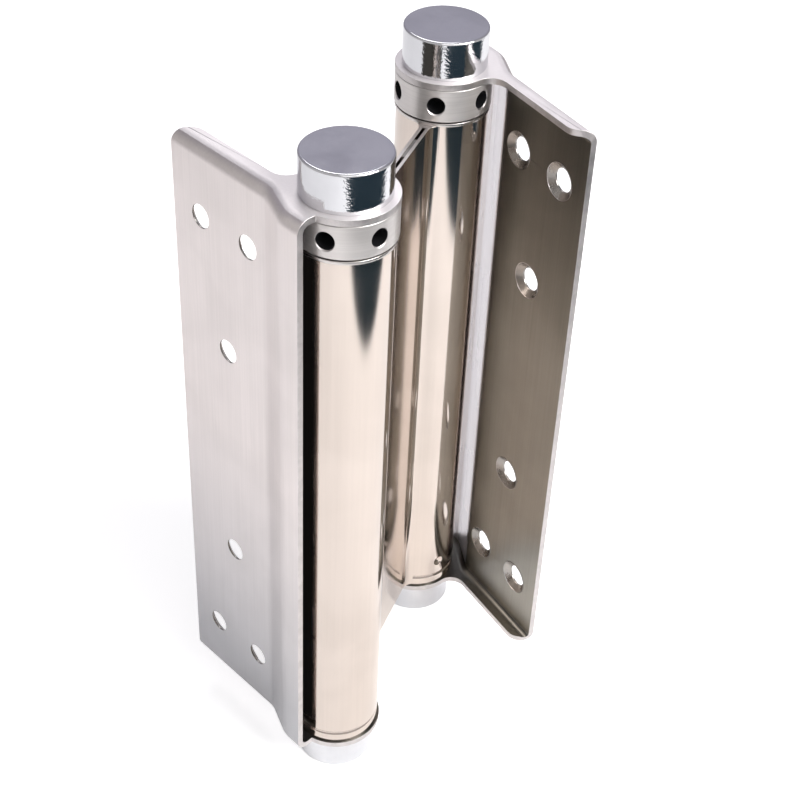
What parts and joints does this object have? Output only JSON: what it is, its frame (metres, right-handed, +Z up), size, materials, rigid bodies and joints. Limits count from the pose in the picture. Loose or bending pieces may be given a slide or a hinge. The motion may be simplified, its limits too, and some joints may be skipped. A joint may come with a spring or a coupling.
{
  "type": "double action cafe hinge",
  "caption": "Double-action spring hinge: two stamped leaves with eared flanges on two spring barrels joined by a web, tension collars and polished caps.",
  "frame": {"origin": "middle of the frame leaf's screw pattern on its mounting face, at mid height", "axes": "+X from the leaf's outer edge toward its barrel, +Y from the mounting face toward the barrel side, +Z up along the barrels"},
  "size_m": [0.0737, 0.1075, 0.2232],
  "materials": {
    "leaf_metal": "satin, grain along the barrel",
    "tube_metal": "polished",
    "cap_metal": "polished",
    "rod_metal": "ground",
    "spring_metal": "oiled spring wire",
    "collar_metal": "finely turned",
    "bush_metal": "turned",
    "washer_black": "matt",
    "spacer_metal": "mill"
  },
  "bodies": {
    "frame_leaf": {"frame_leaf": "leaf_metal", "frame_top_cap": "cap_metal", "frame_bottom_cap": "cap_metal", "frame_spindle": "rod_metal"},
    "barrels": {"barrel_sheet": "tube_metal", "frame_web_spacer": "spacer_metal", "door_web_spacer": "spacer_metal", "frame_spring": "spring_metal", "frame_upper_bush": "bush_metal", "frame_lower_plug": "bush_metal", "frame_collar_washer": "washer_black", "frame_foot_washer": "washer_black", "door_spring": "spring_metal", "door_upper_bush": "bush_metal", "door_lower_plug": "bush_metal", "door_collar_washer": "washer_black", "door_foot_washer": "washer_black"},
    "door_leaf": {"door_leaf": "leaf_metal", "door_top_cap": "cap_metal", "door_bottom_cap": "cap_metal", "door_spindle": "rod_metal"},
    "frame_collar": {"frame_tension_collar": "collar_metal"},
    "door_collar": {"door_tension_collar": "collar_metal"}
  },
  "joints": [
    {"name": "frame_hinge", "type": "hinge", "parent": "frame_leaf", "child": "barrels", "pos_m": [0.03105, 0.015, 0], "axis": [0, 0, 1], "range_deg": [-115.96, 64.04]},
    {"name": "door_hinge", "type": "hinge", "parent": "barrels", "child": "door_leaf", "pos_m": [-0.002, 0.08288, 0], "axis": [0, 0, 1], "range_deg": [-52.64, 127.36]},
    {"name": "frame_collar_wind", "type": "hinge", "parent": "barrels", "child": "frame_collar", "pos_m": [0.03105, 0.015, 0], "axis": [0, 0, 1], "range_deg": [0, 150], "stiffness_Nm_per_rad": 0.8},
    {"name": "door_collar_wind", "type": "hinge", "parent": "barrels", "child": "door_collar", "pos_m": [-0.002, 0.08288, 0], "axis": [0, 0, 1], "range_deg": [0, 150], "stiffness_Nm_per_rad": 0.8}
  ]
}
